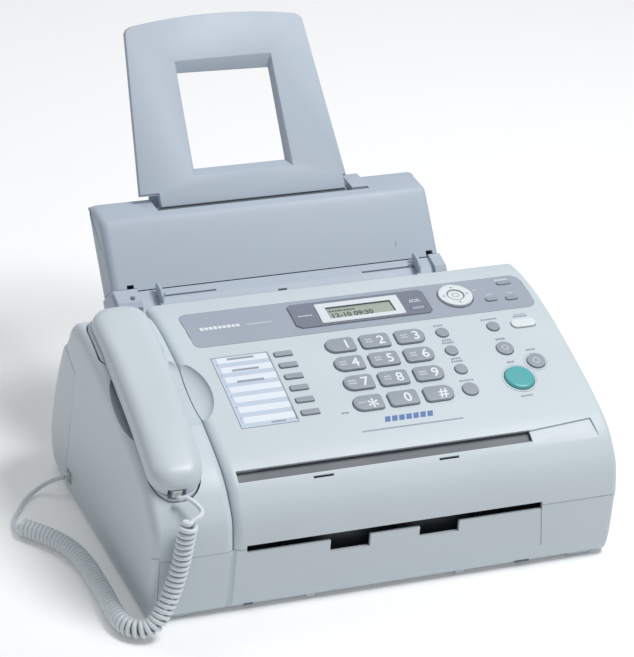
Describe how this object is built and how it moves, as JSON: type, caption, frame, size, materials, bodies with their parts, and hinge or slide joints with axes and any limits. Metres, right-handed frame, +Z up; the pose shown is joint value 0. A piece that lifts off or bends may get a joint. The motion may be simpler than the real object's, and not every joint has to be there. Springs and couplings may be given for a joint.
{
  "type": "fax machine",
  "caption": "Desktop laser fax machine with a corded side handset, sloped key panel with display, hinged rear paper tray with a windowed extension, and a front paper slot.",
  "frame": {"origin": "centre of the outline at the surface that the machine stands on, cord not counted", "axes": "+X to the right of someone facing the keys, +Y towards the rear, +Z up"},
  "size_m": [0.4965, 0.4721, 0.3469],
  "materials": {
    "case": "fine matte texture",
    "band": "satin",
    "window": "satin tinted window",
    "lcd": "reflective liquid crystal glass",
    "card": "printed card under clear film",
    "key": "satin",
    "pale_key": "satin",
    "start_key": "satin",
    "tray": "fine matte texture",
    "handset": "satin",
    "cord": "satin vinyl jacket",
    "plug": "clear moulding",
    "dark": "matte",
    "rubber": "matte",
    "board": "solder mask laminate"
  },
  "bodies": {
    "base": {"lower_case": "case", "handset_cradle": "case", "rear_cover": "case", "tray_base": "tray", "main_board": "board", "drum_cartridge": "dark", "cord_coil": "cord", "cord_lead_handset": "cord", "cord_lead_base": "cord", "plug_base": "plug"},
    "top_cover": {"top_cover": "case", "display_band": "band", "display_window": "window", "lcd_glass": "lcd", "directory_card": "card"},
    "handset": {"handset_upper_shell": "handset", "handset_lower_shell": "handset", "plug_handset": "plug"},
    "hook_switch": {"hook_switch_plunger": "dark"},
    "tray_cover": {"tray_cover": "tray"},
    "tray_extension": {"tray_extension": "tray"},
    "document_guide_left": {"document_guide_left": "tray"},
    "document_guide_right": {"document_guide_right": "tray"},
    "document_feed_roller": {"document_feed_roller": "rubber"},
    "paper_pickup_roller": {"paper_pickup_roller": "rubber"},
    "fuser_roller": {"fuser_roller": "dark"},
    "paper_exit_roller": {"paper_exit_roller": "rubber"},
    "key_1": {"key_1": "key"},
    "key_2": {"key_2": "key"},
    "key_3": {"key_3": "key"},
    "key_4": {"key_4": "key"},
    "key_5": {"key_5": "key"},
    "key_6": {"key_6": "key"},
    "key_7": {"key_7": "key"},
    "key_8": {"key_8": "key"},
    "key_9": {"key_9": "key"},
    "key_star": {"key_star": "key"},
    "key_0": {"key_0": "key"},
    "key_hash": {"key_hash": "key"},
    "one_touch_key_1": {"one_touch_key_1": "key"},
    "one_touch_key_2": {"one_touch_key_2": "key"},
    "one_touch_key_3": {"one_touch_key_3": "key"},
    "one_touch_key_4": {"one_touch_key_4": "key"},
    "one_touch_key_5": {"one_touch_key_5": "key"},
    "one_touch_key_6": {"one_touch_key_6": "key"},
    "flash_key": {"flash_key": "key"},
    "redial_key": {"redial_key": "key"},
    "mute_key": {"mute_key": "key"},
    "speaker_key": {"speaker_key": "key"},
    "quick_scan_key": {"quick_scan_key": "key"},
    "auto_answer_key": {"auto_answer_key": "pale_key"},
    "stop_key": {"stop_key": "key"},
    "copy_key": {"copy_key": "key"},
    "start_key": {"start_key": "start_key"},
    "navigation_ring": {"navigation_ring": "pale_key"},
    "display_key": {"display_key": "key"},
    "menu_key": {"menu_key": "key"},
    "left_arrow_key": {"left_arrow_key": "key"},
    "right_arrow_key": {"right_arrow_key": "key"},
    "set_key": {"set_key": "pale_key"}
  },
  "joints": [
    {"name": "top_cover_hinge", "type": "hinge", "parent": "base", "child": "top_cover", "pos_m": [0.03575, 0.01747, 0.161], "axis": [-1, 0, 0], "range_deg": [0, 50]},
    {"name": "handset_lift", "type": "slide", "parent": "base", "child": "handset", "axis": [0, -0.277, 0.9609], "range_m": [0, 0.1]},
    {"name": "hook_switch", "type": "slide", "parent": "base", "child": "hook_switch", "axis": [0, -0.277, 0.9609], "range_m": [0, 0.004]},
    {"name": "tray_cover_hinge", "type": "hinge", "parent": "base", "child": "tray_cover", "pos_m": [-0.00925, 0.05053, 0.16717], "axis": [1, 0, 0], "range_deg": [0, 5]},
    {"name": "extension_lift", "type": "slide", "parent": "base", "child": "tray_extension", "axis": [0, 0.6587, 0.7524], "range_m": [0, 0.08]},
    {"name": "document_guide_left_slide", "type": "slide", "parent": "base", "child": "document_guide_left", "axis": [1, 0, 0], "range_m": [0, 0.045]},
    {"name": "document_guide_right_slide", "type": "slide", "parent": "base", "child": "document_guide_right", "axis": [1, 0, 0], "range_m": [-0.045, 0]},
    {"name": "document_feed_roller_spin", "type": "hinge", "parent": "top_cover", "child": "document_feed_roller", "pos_m": [0.00075, -0.02853, 0.136], "axis": [1, 0, 0], "continuous": true},
    {"name": "paper_pickup_roller_spin", "type": "hinge", "parent": "base", "child": "paper_pickup_roller", "pos_m": [-0.00925, 0.01947, 0.102], "axis": [1, 0, 0], "continuous": true},
    {"name": "fuser_roller_spin", "type": "hinge", "parent": "base", "child": "fuser_roller", "pos_m": [0.00475, -0.15253, 0.07], "axis": [1, 0, 0], "continuous": true},
    {"name": "paper_exit_roller_spin", "type": "hinge", "parent": "base", "child": "paper_exit_roller", "pos_m": [0.00475, -0.20053, 0.07], "axis": [1, 0, 0], "continuous": true},
    {"name": "key_1_press", "type": "slide", "parent": "top_cover", "child": "key_1", "axis": [0, 0.2306, -0.973], "range_m": [0, 0.0012], "stiffness_N_per_m": 500, "springref_m": -0.0006},
    {"name": "key_2_press", "type": "slide", "parent": "top_cover", "child": "key_2", "axis": [0, 0.2306, -0.973], "range_m": [0, 0.0012], "stiffness_N_per_m": 500, "springref_m": -0.0006},
    {"name": "key_3_press", "type": "slide", "parent": "top_cover", "child": "key_3", "axis": [0, 0.2306, -0.973], "range_m": [0, 0.0012], "stiffness_N_per_m": 500, "springref_m": -0.0006},
    {"name": "key_4_press", "type": "slide", "parent": "top_cover", "child": "key_4", "axis": [0, 0.2562, -0.9666], "range_m": [0, 0.0012], "stiffness_N_per_m": 500, "springref_m": -0.0006},
    {"name": "key_5_press", "type": "slide", "parent": "top_cover", "child": "key_5", "axis": [0, 0.2562, -0.9666], "range_m": [0, 0.0012], "stiffness_N_per_m": 500, "springref_m": -0.0006},
    {"name": "key_6_press", "type": "slide", "parent": "top_cover", "child": "key_6", "axis": [0, 0.2562, -0.9666], "range_m": [0, 0.0012], "stiffness_N_per_m": 500, "springref_m": -0.0006},
    {"name": "key_7_press", "type": "slide", "parent": "top_cover", "child": "key_7", "axis": [0, 0.2721, -0.9623], "range_m": [0, 0.0012], "stiffness_N_per_m": 500, "springref_m": -0.0006},
    {"name": "key_8_press", "type": "slide", "parent": "top_cover", "child": "key_8", "axis": [0, 0.2721, -0.9623], "range_m": [0, 0.0012], "stiffness_N_per_m": 500, "springref_m": -0.0006},
    {"name": "key_9_press", "type": "slide", "parent": "top_cover", "child": "key_9", "axis": [0, 0.2721, -0.9623], "range_m": [0, 0.0012], "stiffness_N_per_m": 500, "springref_m": -0.0006},
    {"name": "key_star_press", "type": "slide", "parent": "top_cover", "child": "key_star", "axis": [0, 0.2971, -0.9549], "range_m": [0, 0.0012], "stiffness_N_per_m": 500, "springref_m": -0.0006},
    {"name": "key_0_press", "type": "slide", "parent": "top_cover", "child": "key_0", "axis": [0, 0.2971, -0.9549], "range_m": [0, 0.0012], "stiffness_N_per_m": 500, "springref_m": -0.0006},
    {"name": "key_hash_press", "type": "slide", "parent": "top_cover", "child": "key_hash", "axis": [0, 0.2971, -0.9549], "range_m": [0, 0.0012], "stiffness_N_per_m": 500, "springref_m": -0.0006},
    {"name": "one_touch_key_1_press", "type": "slide", "parent": "top_cover", "child": "one_touch_key_1", "axis": [0, 0.234, -0.9722], "range_m": [0, 0.0012], "stiffness_N_per_m": 500, "springref_m": -0.0006},
    {"name": "one_touch_key_2_press", "type": "slide", "parent": "top_cover", "child": "one_touch_key_2", "axis": [0, 0.2482, -0.9687], "range_m": [0, 0.0012], "stiffness_N_per_m": 500, "springref_m": -0.0006},
    {"name": "one_touch_key_3_press", "type": "slide", "parent": "top_cover", "child": "one_touch_key_3", "axis": [0, 0.2587, -0.9659], "range_m": [0, 0.0012], "stiffness_N_per_m": 500, "springref_m": -0.0006},
    {"name": "one_touch_key_4_press", "type": "slide", "parent": "top_cover", "child": "one_touch_key_4", "axis": [0, 0.2662, -0.9639], "range_m": [0, 0.0012], "stiffness_N_per_m": 500, "springref_m": -0.0006},
    {"name": "one_touch_key_5_press", "type": "slide", "parent": "top_cover", "child": "one_touch_key_5", "axis": [0, 0.2841, -0.9588], "range_m": [0, 0.0012], "stiffness_N_per_m": 500, "springref_m": -0.0006},
    {"name": "one_touch_key_6_press", "type": "slide", "parent": "top_cover", "child": "one_touch_key_6", "axis": [0, 0.2996, -0.9541], "range_m": [0, 0.0012], "stiffness_N_per_m": 500, "springref_m": -0.0006},
    {"name": "flash_key_press", "type": "slide", "parent": "top_cover", "child": "flash_key", "axis": [0, 0.2298, -0.9732], "range_m": [0, 0.0012], "stiffness_N_per_m": 500, "springref_m": -0.0006},
    {"name": "redial_key_press", "type": "slide", "parent": "top_cover", "child": "redial_key", "axis": [0, 0.2561, -0.9666], "range_m": [0, 0.0012], "stiffness_N_per_m": 500, "springref_m": -0.0006},
    {"name": "mute_key_press", "type": "slide", "parent": "top_cover", "child": "mute_key", "axis": [0, 0.2713, -0.9625], "range_m": [0, 0.0012], "stiffness_N_per_m": 500, "springref_m": -0.0006},
    {"name": "speaker_key_press", "type": "slide", "parent": "top_cover", "child": "speaker_key", "axis": [0, 0.2959, -0.9552], "range_m": [0, 0.0012], "stiffness_N_per_m": 500, "springref_m": -0.0006},
    {"name": "quick_scan_key_press", "type": "slide", "parent": "top_cover", "child": "quick_scan_key", "axis": [0, 0.231, -0.9729], "range_m": [0, 0.0012], "stiffness_N_per_m": 500, "springref_m": -0.0006},
    {"name": "auto_answer_key_press", "type": "slide", "parent": "top_cover", "child": "auto_answer_key", "axis": [0, 0.2336, -0.9723], "range_m": [0, 0.0012], "stiffness_N_per_m": 500, "springref_m": -0.0006},
    {"name": "stop_key_press", "type": "slide", "parent": "top_cover", "child": "stop_key", "axis": [0, 0.2587, -0.9659], "range_m": [0, 0.0012], "stiffness_N_per_m": 500, "springref_m": -0.0006},
    {"name": "copy_key_press", "type": "slide", "parent": "top_cover", "child": "copy_key", "axis": [0, 0.2746, -0.9615], "range_m": [0, 0.0012], "stiffness_N_per_m": 500, "springref_m": -0.0006},
    {"name": "start_key_press", "type": "slide", "parent": "top_cover", "child": "start_key", "axis": [0, 0.2841, -0.9588], "range_m": [0, 0.0012], "stiffness_N_per_m": 500, "springref_m": -0.0006},
    {"name": "navigation_ring_press", "type": "slide", "parent": "top_cover", "child": "navigation_ring", "axis": [0, 0.0995, -0.995], "range_m": [0, 0.0012], "stiffness_N_per_m": 500, "springref_m": -0.0006},
    {"name": "display_key_press", "type": "slide", "parent": "top_cover", "child": "display_key", "axis": [0, 0.1467, -0.9892], "range_m": [0, 0.0012], "stiffness_N_per_m": 500, "springref_m": -0.0006},
    {"name": "menu_key_press", "type": "slide", "parent": "top_cover", "child": "menu_key", "axis": [0, 0.0512, -0.9987], "range_m": [0, 0.0012], "stiffness_N_per_m": 500, "springref_m": -0.0006},
    {"name": "left_arrow_key_press", "type": "slide", "parent": "top_cover", "child": "left_arrow_key", "axis": [0, 0.1471, -0.9891], "range_m": [0, 0.0012], "stiffness_N_per_m": 500, "springref_m": -0.0006},
    {"name": "right_arrow_key_press", "type": "slide", "parent": "top_cover", "child": "right_arrow_key", "axis": [0, 0.154, -0.9881], "range_m": [0, 0.0012], "stiffness_N_per_m": 500, "springref_m": -0.0006},
    {"name": "set_key_press", "type": "slide", "parent": "top_cover", "child": "set_key", "axis": [0, 0.0995, -0.995], "range_m": [0, 0.0012], "stiffness_N_per_m": 500, "springref_m": -0.0006}
  ],
  "couplings": [
    {"joint": "hook_switch", "follows": "handset_lift", "ratio": 0.04},
    {"joint": "document_guide_right_slide", "follows": "document_guide_left_slide", "ratio": -1},
    {"joint": "paper_exit_roller_spin", "follows": "fuser_roller_spin", "ratio": 1}
  ]
}
